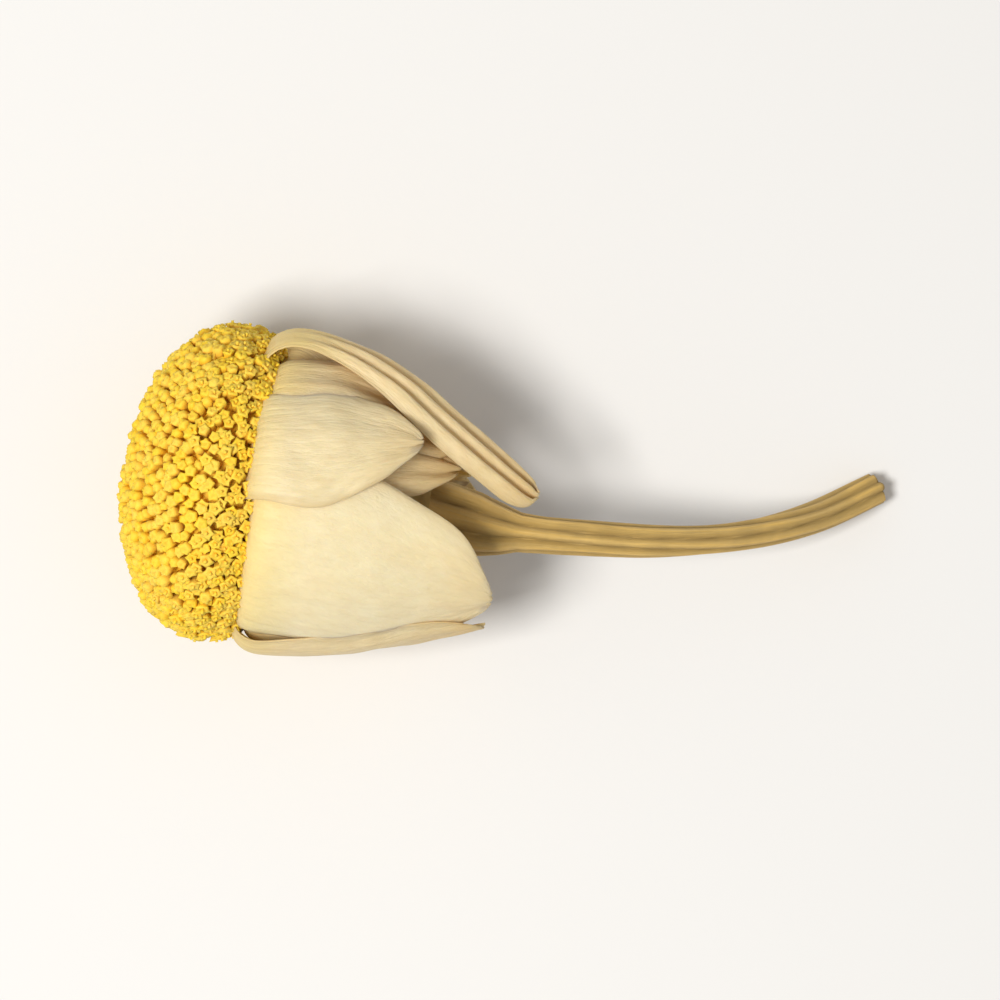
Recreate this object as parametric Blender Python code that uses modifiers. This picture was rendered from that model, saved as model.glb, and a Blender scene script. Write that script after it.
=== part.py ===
"""One dried chamomile flower head on its stalk, lying on its side.

The head is modelled standing up in its own frame: +Z points out of the yellow disc and the
stalk leaves along -Z. An empty lays it down, so that the disc faces world -X, the stalk runs
towards +X and the underside of the head rests on the ground at z = 0. Units are metres.
"""

import math

import bmesh
import bpy
import numpy as np
from mathutils import Matrix, Vector

# Driving dimensions
HEAD_RADIUS = 0.0036
DOME_DEPTH = 0.00295
BLADE = 0.0006
SEAT_GAP = 0.0003
STALK_RADIUS = 0.0004
TURN_STEPS = 40

# How the head lies
AXIS_HEIGHT = 0.0037
HEAD_YAW = math.radians(9.0)
REST_DEPTH = 0.0020

# Yellow disc of tubular florets
FLORET_COUNT = 170
FLORET_RADIUS = 0.00036
FLORET_STAND = 0.00034
FLORET_SLIMNESS = 1.35
RIM_POLAR = math.radians(100.0)
RIM_LIFT = 0.0006
RIM_TUCK = 0.00194
GOLDEN_ANGLE = math.pi * (3.0 - math.sqrt(5.0))
CORE_RADIUS = HEAD_RADIUS - FLORET_STAND
CORE_DEPTH = DOME_DEPTH - FLORET_STAND
CORE_POLARS = [math.radians(angle) for angle in (0, 11, 22, 34, 45, 56, 67, 78, 90, 100, 108)]

# Receptacle boss, which passes through the ring of petal bases into the disc
BOSS_RADIUS = 0.0021
BOSS_HEIGHT = 0.0006

# Ring of petal bases and the folded-back petals
RING_TOP = -SEAT_GAP
RING_BOTTOM = RING_TOP - BLADE
RING_HIGH = RING_TOP - BLADE / 4.0
RING_LOW = RING_BOTTOM + BLADE / 12.0
RING_INNER = BOSS_RADIUS + SEAT_GAP
RING_OUTER = 0.0032
LAYER_STEP = 0.00004
PETAL_ROOT_RADIUS = 0.0027
PETAL_FOLD_RADIUS = 0.0035
PETAL_BEND = 0.00042
PETAL_ACROSS = 6
PETAL_ALONG = 10
PETAL_STEPS = 14
PETAL_ARCH_RADIUS = 0.0033
PETAL_WIDTHS = ((0.0, 0.6), (0.15, 0.9), (0.45, 1.0), (1.0, 1.0))
TAPER_START = 0.35
PLEAT_DEPTH = 0.00008
PLEAT_SHARES = ((0.0, 0.0), (0.35, 1.0), (1.0, 1.0))
TOOTH_DEPTH = 0.08
TIP_ROUND = 0.10

# Azimuth is measured about the head's axis: 0 faces up, 90 faces world +Y, 180 the ground.
# Each row: layer from the outside, azimuth and swing in degrees, width, run behind the fold,
# inward tilt in degrees, how fast it is reached, and taper towards the tip.
PETALS = (
    (0, 56, -20, 0.0013, 0.0060, 23, 6, 0.20),
    (0, 19, 9, 0.0030, 0.0035, 12, 2, 0.70),
    (3, 8, 20, 0.0018, 0.0047, 27, 2, 0.40),
    (1, -37, 0, 0.0038, 0.0051, 25, 2, 0.50),
    (0, -77, 13, 0.0015, 0.0049, 22, 2, 0.35),
    (2, -100, 4, 0.0019, 0.0045, 21, 2, 0.35),
    (1, -124, -4, 0.0021, 0.0044, 16, 2, 0.35),
    (3, -151, 4, 0.0025, 0.0047, 9, 2, 0.30),
    (0, 178, 0, 0.0029, 0.0047, 3, 2, 0.30),
    (2, 146, -5, 0.0025, 0.0043, 12, 2, 0.30),
    (1, 115, 4, 0.0022, 0.0040, 25, 3, 0.35),
    (2, 85, -10, 0.0020, 0.0038, 28, 4, 0.40),
)

# Involucre: the cup and its two rows of bracts
CUP_TOP = RING_BOTTOM - SEAT_GAP
CUP_PROFILE = ((0.0025, 0.0), (0.0025, 0.0003), (0.0021, 0.0009), (0.0015, 0.0016),
               (0.00105, 0.0023), (0.0009, 0.0027))
CUP_END = CUP_TOP - CUP_PROFILE[-1][1]
CUP_STEPS = 96
CUP_ROWS = 15
# Each row: number of bracts, shares of the cup's depth at tip and foot, height, offset in bracts.
BRACT_ROWS = (
    (12, 0.02, 0.85, 0.00016, 0.0),
    (12, 0.36, 1.00, 0.00030, 0.5),
)

# Petals' middles stay outside this line, given as distance behind the disc's rim and radius.
CLEAR_LINE = ((0.0, 0.0032), (0.0015, 0.0032), (0.0021, 0.0028), (0.0028, 0.0023), (0.0035, 0.0018),
              (0.0040, 0.0016), (0.0046, 0.00145), (0.0053, 0.0013), (0.0062, 0.00105))

# Stalk: where it starts behind the rim, its flare, its ribs and its route to the ground
STALK_START = CUP_END - SEAT_GAP
STALK_RIBS = 6
RIB_DEPTH = 0.10
FLARE = ((0.0, 2.2), (0.10, 1.85), (0.18, 1.2), (0.26, 1.0), (0.5, 0.95), (1.0, 0.9))
# Route behind the stalk's start: world +X, world +Y and drop below the head's axis.
STALK_ROUTE = (
    (0.0, 0.0, 0.0),
    (0.0015, -0.0003, 0.0),
    (0.0032, -0.0005, 0.0001),
    (0.0051, -0.0006, 0.00055),
    (0.0070, -0.0005, 0.0014),
    (0.0087, -0.0001, 0.0024),
    (0.0102, 0.0006, AXIS_HEIGHT - 0.9 * STALK_RADIUS),
)
STALK_STEPS = 34


def clear_scene():
    """Removes every object that the file starts with."""
    for obj in list(bpy.data.objects):
        bpy.data.objects.remove(obj)


def new_collection(name):
    """Makes a collection in the scene."""
    made = bpy.data.collections.new(name)
    bpy.context.scene.collection.children.link(made)
    return made


def material(name, colour, roughness):
    """A plain Principled material."""
    made = bpy.data.materials.new(name)
    made.use_nodes = True
    shader = made.node_tree.nodes["Principled BSDF"]
    shader.inputs["Base Color"].default_value = (*colour, 1.0)
    shader.inputs["Roughness"].default_value = roughness
    shader.inputs["Metallic"].default_value = 0.0
    return made


def object_from(mesh, name, collection, parent=None):
    """Links a mesh as an object."""
    obj = bpy.data.objects.new(name, mesh)
    collection.objects.link(obj)
    obj.parent = parent
    return obj


def turned(name, profile, collection, parent, steps=TURN_STEPS, closed=False):
    """A solid of revolution about the head's axis, from (radius, height) points, top to bottom."""
    mesh = bpy.data.meshes.new(name)
    edges = [(i, i + 1) for i in range(len(profile) - 1)]
    if closed:
        edges.append((len(profile) - 1, 0))
    mesh.from_pydata([(radius, 0.0, height) for radius, height in profile], edges, [])
    obj = object_from(mesh, name, collection, parent)
    screw = obj.modifiers.new("Turn", "SCREW")
    screw.axis = "Z"
    screw.steps = steps
    screw.render_steps = steps
    screw.use_merge_vertices = True
    screw.merge_threshold = 0.00001
    return obj


def fill_pockets(mesh):
    """Removes the walls of pockets that a union has closed off inside a body."""
    solid = bmesh.new()
    solid.from_mesh(mesh)
    left = set(solid.faces)
    while left:
        island = {left.pop()}
        edge = list(island)
        while edge:
            near = {other for line in edge.pop().edges for other in line.link_faces} - island
            island |= near
            edge += near
        left -= island
        corners = [[vert.co for vert in face.verts] for face in island]
        volume = sum(
            fan[0].dot(fan[i].cross(fan[i + 1])) for fan in corners for i in range(1, len(fan) - 1)
        )
        if volume < 0.0:
            bmesh.ops.delete(solid, geom=list(island), context="FACES")
    solid.to_mesh(mesh)
    solid.free()


def fuse(base, repeats, name, collection, parent, surface):
    """Joins a collection of repeats to what they grow from, and removes the collection."""
    union = base.modifiers.new("Fuse", "BOOLEAN")
    union.operation = "UNION"
    union.operand_type = "COLLECTION"
    union.collection = repeats
    union.solver = "MANIFOLD"
    bpy.context.view_layer.update()
    graph = bpy.context.evaluated_depsgraph_get()
    mesh = bpy.data.meshes.new_from_object(base.evaluated_get(graph))
    mesh.name = name
    fill_pockets(mesh)
    for obj in [*repeats.objects, base]:
        bpy.data.objects.remove(obj)
    bpy.data.collections.remove(repeats)
    mesh.materials.clear()
    mesh.materials.append(surface)
    return object_from(mesh, name, collection, parent)


def wave(value, stations):
    """Reads a smooth line through (place, value) stations."""
    places, values = zip(*stations)
    return float(np.interp(value, places, values))


def blade(name, across, along, place, collection, parent):
    """A thin leaf-like solid: a flat slab moved by place(c, s, t).

    c runs from -1 to 1 across the blade, s from 0 to 1 from its root to its tip, and t is -1 on
    its inner face and 1 on its outer face.
    """
    slab = bmesh.new()
    bmesh.ops.create_grid(slab, x_segments=across, y_segments=along, size=1.0)
    bmesh.ops.triangulate(slab, faces=slab.faces)
    inner = list(slab.faces)
    grown = bmesh.ops.extrude_face_region(slab, geom=inner)
    for part in grown["geom"]:
        if isinstance(part, bmesh.types.BMVert):
            part.co.z = 1.0
    bmesh.ops.recalc_face_normals(slab, faces=slab.faces)
    for vert in slab.verts:
        vert.co = place(vert.co.x, (vert.co.y + 1.0) / 2.0, 2.0 * vert.co.z - 1.0)
    bmesh.ops.triangulate(slab, faces=slab.faces)
    bmesh.ops.reverse_faces(slab, faces=slab.faces)
    mesh = bpy.data.meshes.new(name)
    slab.to_mesh(mesh)
    slab.free()
    return object_from(mesh, name, collection, parent)


def petal_line(run, tilt, speed, layer):
    """Points (radius, height) along a petal: out from the ring, over the fold and back."""
    top = RING_TOP - BLADE / 2.0 - layer * LAYER_STEP
    line = [(PETAL_ROOT_RADIUS, top)]
    centre_radius = PETAL_FOLD_RADIUS - PETAL_BEND - layer * LAYER_STEP
    centre_height = top - PETAL_BEND
    for step in range(7):
        turn = math.radians(90.0 * step / 6.0)
        line.append(
            (centre_radius + PETAL_BEND * math.sin(turn), centre_height + PETAL_BEND * math.cos(turn))
        )
    radius, height = line[-1]
    for step in range(1, PETAL_STEPS + 1):
        lean = math.radians(tilt) * min(1.0, speed * step / PETAL_STEPS)
        radius -= run / PETAL_STEPS * math.tan(lean)
        height -= run / PETAL_STEPS
        line.append((max(radius, wave(-height, CLEAR_LINE)), height))
    return np.array(line)


def along_line(line, share):
    """The point on a line at a share of its length, and the line's outward direction there."""
    lengths = np.concatenate([[0.0], np.cumsum(np.hypot(*np.diff(line, axis=0).T))])

    def at(length):
        return np.array([np.interp(length, lengths, line[:, 0]), np.interp(length, lengths, line[:, 1])])

    length = share * lengths[-1]
    ahead = at(min(length + PETAL_BEND / 3.0, lengths[-1]))
    step = ahead - at(max(length - PETAL_BEND / 3.0, 0.0))
    step /= np.hypot(*step)
    return at(length), np.array([-step[1], step[0]])


def petal_place(layer, azimuth, swing, width, run, tilt, speed, taper):
    """Where the points of one petal go, as a function of (c, s, t)."""
    line = petal_line(run, tilt, speed, layer)

    def place(c, s, t):
        turn = math.radians(azimuth + swing * max(0.0, s - 0.2) / 0.8)
        outward = Vector((math.cos(turn), math.sin(turn), 0.0))
        sideways = Vector((-math.sin(turn), math.cos(turn), 0.0))
        tooth = 0.5 - 0.5 * math.cos(3.0 * math.pi * c)
        reach = s * (1.0 - s * (TOOTH_DEPTH * tooth + TIP_ROUND * c**4))
        (radius, height), normal = along_line(line, reach)
        narrowed = 1.0 - taper * max(0.0, (s - TAPER_START) / (1.0 - TAPER_START)) ** 1.5
        half = 0.5 * width * wave(s, PETAL_WIDTHS) * narrowed
        drop = (half * c) ** 2 / (2.0 * PETAL_ARCH_RADIUS)
        thick = t * BLADE / 2.0
        if t > 0.0:
            thick += PLEAT_DEPTH * math.cos(3.0 * math.pi * c) * wave(s, PLEAT_SHARES)
        radius += thick * normal[0] - drop
        point = outward * radius + sideways * (half * c)
        point.z = height + thick * normal[1]
        return point

    return place


def make_petals(collection, cutters, head, surface):
    """The folded-back ray petals on their ring of bases, pressed flat on the ground."""
    repeats = new_collection("petal repeats")
    ring = turned(
        "ring",
        ((RING_INNER, RING_HIGH), (RING_OUTER, RING_HIGH), (RING_OUTER, RING_LOW),
         (RING_INNER, RING_LOW)),
        collection,
        head,
        closed=True,
    )
    for number, row in enumerate(PETALS):
        blade(f"petal {number}", PETAL_ACROSS, PETAL_ALONG, petal_place(*row), repeats, head)
    petals = fuse(ring, repeats, "ray_petals", collection, head, surface)
    ground = bmesh.new()
    bmesh.ops.create_cube(ground, size=1.0)
    mesh = bpy.data.meshes.new("ground")
    ground.to_mesh(mesh)
    ground.free()
    side = 8.0 * HEAD_RADIUS
    mesh.transform(Matrix.Translation((0.0, 0.0, -side / 2.0)) @ Matrix.Scale(side, 4))
    cutter = object_from(mesh, "ground", cutters)
    cutter.hide_render = True
    cutter.display_type = "WIRE"
    press = petals.modifiers.new("Press flat", "BOOLEAN")
    press.operation = "DIFFERENCE"
    press.object = cutter
    press.solver = "EXACT"
    return petals


def core_height(polar):
    """Height of the disc's core at an angle from its tip."""
    if polar < math.pi / 2.0:
        return RIM_LIFT + (CORE_DEPTH - RIM_LIFT) * math.cos(polar)
    return RIM_LIFT + RIM_TUCK * math.cos(polar)


def make_disc(collection, head, surface):
    """The yellow dome of tubular florets, set in a golden-angle spiral over its core."""
    repeats = new_collection("floret repeats")
    profile = [(CORE_RADIUS * math.sin(polar), core_height(polar)) for polar in CORE_POLARS]
    socket = BOSS_RADIUS + SEAT_GAP
    profile += [(socket, 0.0), (socket, BOSS_HEIGHT + SEAT_GAP), (0.0, BOSS_HEIGHT + SEAT_GAP)]
    core = turned("core", profile, collection, head)
    bud = bmesh.new()
    bmesh.ops.create_uvsphere(bud, u_segments=6, v_segments=4, radius=FLORET_RADIUS)
    bmesh.ops.scale(bud, verts=bud.verts, vec=(1.0, 1.0, FLORET_SLIMNESS))
    mesh = bpy.data.meshes.new("floret")
    bud.to_mesh(mesh)
    bud.free()
    for number in range(FLORET_COUNT):
        share = (number + 0.5) / FLORET_COUNT
        polar = math.acos(1.0 - share * (1.0 - math.cos(RIM_POLAR)))
        turn = number * GOLDEN_ANGLE
        across = Vector((math.cos(turn), math.sin(turn), 0.0))
        spot = across * CORE_RADIUS * math.sin(polar)
        spot.z = core_height(polar)
        rise = math.cos(polar) / (CORE_DEPTH - RIM_LIFT)
        normal = (across * math.sin(polar) / CORE_RADIUS + Vector((0.0, 0.0, rise))).normalized()
        floret = object_from(mesh, f"floret {number}", repeats, head)
        floret.location = spot - normal * (FLORET_RADIUS * FLORET_SLIMNESS - FLORET_STAND)
        floret.rotation_mode = "QUATERNION"
        floret.rotation_quaternion = normal.to_track_quat("Z", "Y")
    return fuse(core, repeats, "disc_florets", collection, head, surface)


def cup_radius(depth):
    """Radius of the involucre's cup at a depth below its top."""
    radii, depths = zip(*CUP_PROFILE)
    return float(np.interp(depth, depths, radii))


def bract_relief(turn, share):
    """How far the bracts stand out of the cup at an angle and at a share of its depth."""
    relief = 0.0
    for count, tip, foot, stand, first in BRACT_ROWS:
        cell = (turn / (2.0 * math.pi) * count + first) % 1.0
        side = abs(2.0 * cell - 1.0)
        along = (share - tip) / (foot - tip)
        if 0.0 < along < 1.0:
            half = wave(along, ((0.0, 0.30), (0.25, 0.80), (0.5, 0.95), (1.0, 0.80)))
            edge = max(0.0, 1.0 - (side / half) ** 4)
            relief = max(relief, stand * edge * min(1.0, 6.0 * (1.0 - along)))
    return relief


def make_involucre(collection, head, surface):
    """The green cup under the disc: a receptacle boss, and two rows of bracts as relief."""
    depths = np.linspace(0.0, CUP_PROFILE[-1][1], CUP_ROWS)
    profile = [(0.0, BOSS_HEIGHT), (BOSS_RADIUS, BOSS_HEIGHT), (BOSS_RADIUS, CUP_TOP)]
    profile += [(cup_radius(depth), CUP_TOP - depth) for depth in depths]
    profile.append((0.0, CUP_END))
    cup = turned("cup", profile, collection, head, CUP_STEPS)
    bpy.context.view_layer.update()
    graph = bpy.context.evaluated_depsgraph_get()
    mesh = bpy.data.meshes.new_from_object(cup.evaluated_get(graph))
    bpy.data.objects.remove(cup)
    mesh.name = "involucre"
    for vert in mesh.vertices:
        radius = math.hypot(vert.co.x, vert.co.y)
        share = (CUP_TOP - vert.co.z) / (CUP_TOP - CUP_END)
        if share > 0.0 and radius > BOSS_RADIUS / 3.0:
            grown = 1.0 + bract_relief(math.atan2(vert.co.y, vert.co.x), share) / radius
            vert.co.x *= grown
            vert.co.y *= grown
    mesh.materials.clear()
    mesh.materials.append(surface)
    return object_from(mesh, "involucre", collection, head)


def smooth_route(points, steps):
    """Points along a Catmull-Rom curve through a route."""
    ends = [2 * Vector(points[0]) - Vector(points[1]), 2 * Vector(points[-1]) - Vector(points[-2])]
    knots = [ends[0], *map(Vector, points), ends[1]]
    found = []
    for step in range(steps + 1):
        at = min(step / steps * (len(points) - 1), len(points) - 1 - 1e-9)
        first, t = int(at), at - int(at)
        a, b, c, d = knots[first : first + 4]
        found.append(
            0.5 * (2 * b + (c - a) * t + (2 * a - 5 * b + 4 * c - d) * t**2 + (3 * b - a - 3 * c + d) * t**3)
        )
    return found


def make_stalk(collection, cutters, start, surface):
    """The ribbed stalk, flared where it meets the cup, bending down to the ground."""
    rib = bpy.data.curves.new("rib section", "CURVE")
    rib.dimensions = "2D"
    section = rib.splines.new("POLY")
    corners = 2 * STALK_RIBS
    section.points.add(corners - 1)
    for number, point in enumerate(section.points):
        turn = -2.0 * math.pi * number / corners
        radius = STALK_RADIUS * (1.0 if number % 2 == 0 else 1.0 - RIB_DEPTH)
        point.co = (radius * math.cos(turn), radius * math.sin(turn), 0.0, 1.0)
    section.use_cyclic_u = True
    section_object = bpy.data.objects.new("rib section", rib)
    cutters.objects.link(section_object)
    section_object.hide_render = True

    curve = bpy.data.curves.new("stalk", "CURVE")
    curve.dimensions = "3D"
    curve.bevel_mode = "OBJECT"
    curve.bevel_object = section_object
    curve.use_fill_caps = True
    curve.twist_mode = "MINIMUM"
    route = [(x, y, -drop) for x, y, drop in STALK_ROUTE]
    points = smooth_route(route, STALK_STEPS)
    spline = curve.splines.new("POLY")
    spline.points.add(len(points) - 1)
    for number, (point, place) in enumerate(zip(spline.points, points)):
        point.co = (*place, 1.0)
        point.radius = wave(number / STALK_STEPS, FLARE)
    obj = bpy.data.objects.new("stalk", curve)
    collection.objects.link(obj)
    obj.location = start
    curve.materials.append(surface)
    return obj


def main():
    clear_scene()
    flower = new_collection("dried chamomile flower")
    cutters = new_collection("cutters")
    yellow = material("disc yellow", (0.80, 0.52, 0.05), 0.85)
    cream = material("petal cream", (0.86, 0.78, 0.58), 0.70)
    olive = material("bract olive", (0.46, 0.41, 0.18), 0.80)
    straw = material("stalk straw", (0.42, 0.36, 0.20), 0.75)

    outwards = Vector((-math.cos(HEAD_YAW), math.sin(HEAD_YAW), 0.0))
    up = Vector((0.0, 0.0, 1.0))
    head = bpy.data.objects.new("head", None)
    flower.objects.link(head)
    rim = REST_DEPTH * outwards + AXIS_HEIGHT * up
    turn = Matrix((up, outwards.cross(up), outwards)).transposed()
    head.matrix_world = Matrix.Translation(rim) @ turn.to_4x4()

    make_disc(flower, head, yellow)
    make_petals(flower, cutters, head, cream)
    make_involucre(flower, head, olive)
    make_stalk(flower, cutters, rim + outwards * STALK_START, straw)


main()
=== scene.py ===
"""Looks of one dried chamomile flower head on its stalk, lying on its side.

The head is made standing up in its own frame, with +Z out of the yellow disc, and is then laid
down: +X of that frame points up, +Y lies near world +Y and the stalk leaves along -Z.
"""

import math

import bmesh
import bpy
import numpy as np
from bpy.props import FloatProperty, FloatVectorProperty, IntProperty, PointerProperty
from mathutils import Matrix, Vector


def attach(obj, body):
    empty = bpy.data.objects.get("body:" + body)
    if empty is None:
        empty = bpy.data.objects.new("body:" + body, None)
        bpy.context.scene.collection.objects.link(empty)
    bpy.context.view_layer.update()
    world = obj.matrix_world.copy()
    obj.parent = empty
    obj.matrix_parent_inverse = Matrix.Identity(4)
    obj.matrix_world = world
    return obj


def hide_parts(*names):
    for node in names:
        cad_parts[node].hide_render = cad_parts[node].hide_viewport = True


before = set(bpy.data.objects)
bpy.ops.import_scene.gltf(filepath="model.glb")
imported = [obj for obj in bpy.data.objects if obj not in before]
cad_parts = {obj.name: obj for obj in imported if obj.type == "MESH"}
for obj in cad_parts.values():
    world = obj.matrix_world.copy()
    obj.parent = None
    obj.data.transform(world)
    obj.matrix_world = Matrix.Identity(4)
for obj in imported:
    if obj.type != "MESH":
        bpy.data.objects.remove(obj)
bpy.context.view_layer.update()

bl_info = {
    "name": "Dried chamomile flower",
    "version": (1, 0, 0),
    "blender": (4, 5, 0),
    "location": "View3D > Sidebar > Chamomile",
    "description": "Builds the florets, petals, bracts and stalk of a dried chamomile flower head",
    "category": "Object",
}

MM = 0.001
GOLDEN_ANGLE = math.pi * (3.0 - math.sqrt(5.0))

# Least radius of a folded-back petal at each distance behind the disc's rim
CLEAR_LINE = ((0.0, 0.0032), (0.0015, 0.0032), (0.0021, 0.0028), (0.0028, 0.0023), (0.0035, 0.0018),
              (0.0040, 0.0016), (0.0046, 0.00145), (0.0053, 0.0013), (0.0062, 0.00105))

# The cup: height of its top, depth and radius from there down, and where the stalk leaves it
CUP_TOP = -0.0012
CUP_PROFILE = ((0.0, 0.0025), (0.0003, 0.0025), (0.0009, 0.0021), (0.0016, 0.0015),
               (0.0023, 0.00105), (0.0027, 0.0009))
CUP_END = -0.0041

# Rows of bracts: depths of foot and tip in the cup, width, stand-off and first place
BRACT_ROWS = (
    (0.0019, -0.0007, 0.0012, 0.00022, 0.0),
    (0.0023, 0.0003, 0.0011, 0.00016, 0.5),
    (0.0026, 0.0010, 0.0009, 0.00022, 0.25),
)
# A bract's width from foot to tip, as a share of its widest
BRACT_OUTLINE = ((0.0, 0.55), (0.4, 0.95), (0.65, 1.0), (0.85, 0.78), (1.0, 0.30))

# The stalk's line from the cup's end, and how far it thickens along that line's points
STALK_ROUTE = ((-0.0006, 0.0001, 0.0), (0.0, 0.0, 0.0), (0.0015, -0.0003, 0.0),
               (0.0032, -0.0005, -0.0001), (0.0051, -0.0006, -0.00055), (0.0070, -0.0005, -0.0014),
               (0.0087, -0.0001, -0.0024), (0.0102, 0.0006, -0.00334))
FLARE = ((0.0, 2.2), (0.055, 2.2), (0.15, 2.1), (0.25, 1.85), (0.30, 1.45), (0.335, 1.1), (0.38, 1.0),
         (0.5, 0.95), (1.0, 0.9))
# Rings that close the broken end: size as a share of it, and distance back into the stalk
STALK_CLOSING = ((0.72, 0.00002), (0.25, 0.00009), (0.001, 0.0001))

# Each petal: layer from the outside, azimuth and swing in degrees, width, run behind the fold,
# inward tilt in degrees, how fast it is reached, root width, taper, ridges, pleat, crumple and tone
PETALS = (
    (-1.0, 66, -33, 0.0015, 0.0058, 31, 2, 0.70, 0.15, 3, 0.00013, 0.10, 0.42),
    (-0.2, 17, 12, 0.0033, 0.0030, 12, 2, 0.74, 0.60, 3, 0.00002, 0.12, 0.18),
    (2.6, 12, 26, 0.0022, 0.0040, 28, 2, 0.60, 0.30, 3, 0.00005, 0.30, 0.50),
    (1.2, -27, -28, 0.0056, 0.0051, 22, 2, 0.90, 0.42, 3, 0.00002, 0.05, 0.02),
    (0.5, -90, 4, 0.0026, 0.0050, 20, 2, 0.85, 0.38, 2, 0.00004, 0.10, 0.42),
    (2.6, -84, 0, 0.0023, 0.0045, 22, 2, 0.85, 0.30, 3, 0.00005, 0.30, 0.45),
    (0.8, -124, -4, 0.0026, 0.0044, 15, 2, 0.82, 0.30, 3, 0.00006, 0.18, 0.30),
    (2.6, -151, 4, 0.0027, 0.0047, 13, 2, 0.75, 0.25, 3, 0.00006, 0.40, 0.45),
    (0.0, 178, 0, 0.0031, 0.0047, 3, 2, 0.65, 0.25, 3, 0.00005, 0.10, 0.20),
    (1.6, 148, 8, 0.0025, 0.0042, 18, 2, 0.60, 0.25, 3, 0.00006, 0.45, 0.55),
    (0.6, 115, 4, 0.0026, 0.0034, 28, 3, 0.80, 0.25, 3, 0.00006, 0.30, 0.30),
    (2.0, 82, -8, 0.0026, 0.0036, 28, 4, 0.75, 0.30, 3, 0.00007, 0.45, 0.60),
    (1.3, 42, 16, 0.0024, 0.0040, 24, 3, 0.70, 0.25, 3, 0.00005, 0.30, 0.50),
)

# Florets from bud to open, in mm: rings of height, radius, lobe and tip mark (0 for painted shade
# low between the florets, 1 for their bright tips), the crown's height and tip mark, and the foot,
# top and radius of the style that an open one has
FLORET_AGES = (
    (
        ((0.0, 0.12, 0.0, 0.0), (0.30, 0.165, 0.012, 0.6), (0.41, 0.140, 0.022, 0.9),
         (0.455, 0.065, 0.012, 1.0)),
        (0.44, 0.8),
        None,
    ),
    (
        ((0.0, 0.11, 0.0, 0.0), (0.33, 0.165, 0.014, 0.55), (0.43, 0.150, 0.030, 1.0),
         (0.44, 0.075, 0.018, 0.85)),
        (0.38, 0.35),
        None,
    ),
    (
        ((0.0, 0.10, 0.0, 0.0), (0.36, 0.155, 0.014, 0.55), (0.43, 0.175, 0.040, 1.0),
         (0.42, 0.090, 0.016, 0.75)),
        (0.33, 0.2),
        (0.32, 0.50, 0.04),
    ),
)
# Different shapes of each age
DRAWS = 4

# Linear colours of the spots, streaks and edges on dry tissue
FLORET_SPOT = (0.62, 0.29, 0.02)
FLORET_FADED = (0.93, 0.66, 0.16)
PETAL_SPOT = (0.80, 0.58, 0.27)
PETAL_VEIN = (0.50, 0.32, 0.13)
PETAL_EDGE = (0.55, 0.36, 0.15)
BRACT_STREAK = (0.26, 0.17, 0.05)
BRACT_SPOT = (0.52, 0.38, 0.15)
STALK_STREAK = (0.68, 0.55, 0.30)
STALK_SPOT = (0.33, 0.22, 0.08)


def length(name, description, default):
    """A length property in metres."""
    return FloatProperty(name=name, description=description, default=default, unit="LENGTH", precision=5)


def colour(name, description, default):
    """A linear RGB colour property."""
    return FloatVectorProperty(
        name=name, description=description, default=default, subtype="COLOR", size=3, min=0.0, max=1.0
    )


class HeadSettings(bpy.types.PropertyGroup):
    """Where the head lies"""

    yaw: FloatProperty(
        name="Turn",
        description="Turn of the head's axis on the ground",
        default=math.radians(9.0),
        subtype="ANGLE",
    )
    axis_height: length("Axis height", "Height of the head's axis above the ground", 0.0037)
    rim_back: length("Rim setback", "Distance from the origin to the disc's rim", 0.0020)


class DiscSettings(bpy.types.PropertyGroup):
    """The yellow disc"""

    count: IntProperty(name="Florets", description="Number of tubular florets", default=1232, min=20)
    places: IntProperty(
        name="Places", description="Florets that would reach down to the spiral's end", default=1420, min=20
    )
    core_radius: length("Core radius", "Radius of the dome under the florets", 0.00318)
    core_depth: length("Core depth", "Height of the dome under the florets", 0.00252)
    rim_lift: length("Rim lift", "Height of the dome's widest line", 0.0006)
    rim_tuck: length("Rim tuck", "How far the dome tucks in below its widest line", 0.00194)
    size: FloatProperty(name="Floret size", description="Scale of one floret", default=0.84, min=0.1)
    seed: IntProperty(name="Seed", description="Draw of the florets' sizes and turns", default=11)
    bright: colour("Bright yellow", "Colour of the florets' tips", (0.99, 0.70, 0.032))
    # Painted shade: this deep yellow stands for the shade low down between the florets
    painted_shade: colour("Deep yellow", "Colour between the florets", (0.96, 0.58, 0.026))


class PetalSettings(bpy.types.PropertyGroup):
    """The ray petals"""

    thickness: length("Thickness", "Thickness of a dried petal", 0.00009)
    across: IntProperty(name="Steps across", description="Mesh steps across a petal", default=48, min=6)
    along: IntProperty(name="Steps along", description="Mesh steps along a petal", default=72, min=10)
    wrinkle: length("Wrinkles", "Depth of the drying wrinkles", 0.00005)
    seed: IntProperty(name="Seed", description="Draw of the wrinkles", default=5)
    pale: colour("Cream", "Colour of the palest petal", (0.98, 0.80, 0.51))
    tan: colour("Tan", "Colour of the most faded petal", (0.74, 0.49, 0.22))
    root: colour("Root", "Colour of a petal's base next to the disc", (0.90, 0.64, 0.16))


class InvolucreSettings(bpy.types.PropertyGroup):
    """The cup's bracts"""

    count: IntProperty(name="Bracts in a row", description="Number of bracts in each row", default=13, min=4)
    thickness: length("Thickness", "Thickness of a bract", 0.00009)
    seed: IntProperty(name="Seed", description="Draw of the bracts' places", default=3)
    body: colour("Olive", "Colour of a bract's middle", (0.47, 0.335, 0.105))
    margin: colour("Margin", "Colour of a bract's papery edge", (0.72, 0.55, 0.28))


class StalkSettings(bpy.types.PropertyGroup):
    """The stalk"""

    radius: length("Radius", "Radius of the stalk", 0.0004)
    ribs: IntProperty(name="Ribs", description="Number of ribs round the stalk", default=7, min=3)
    seed: IntProperty(name="Seed", description="Draw of the shrinkage", default=8)
    ridge: colour("Ridge", "Colour of the ribs", (0.80, 0.51, 0.125))
    furrow: colour("Furrow", "Colour between the ribs", (0.40, 0.24, 0.048))


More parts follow.
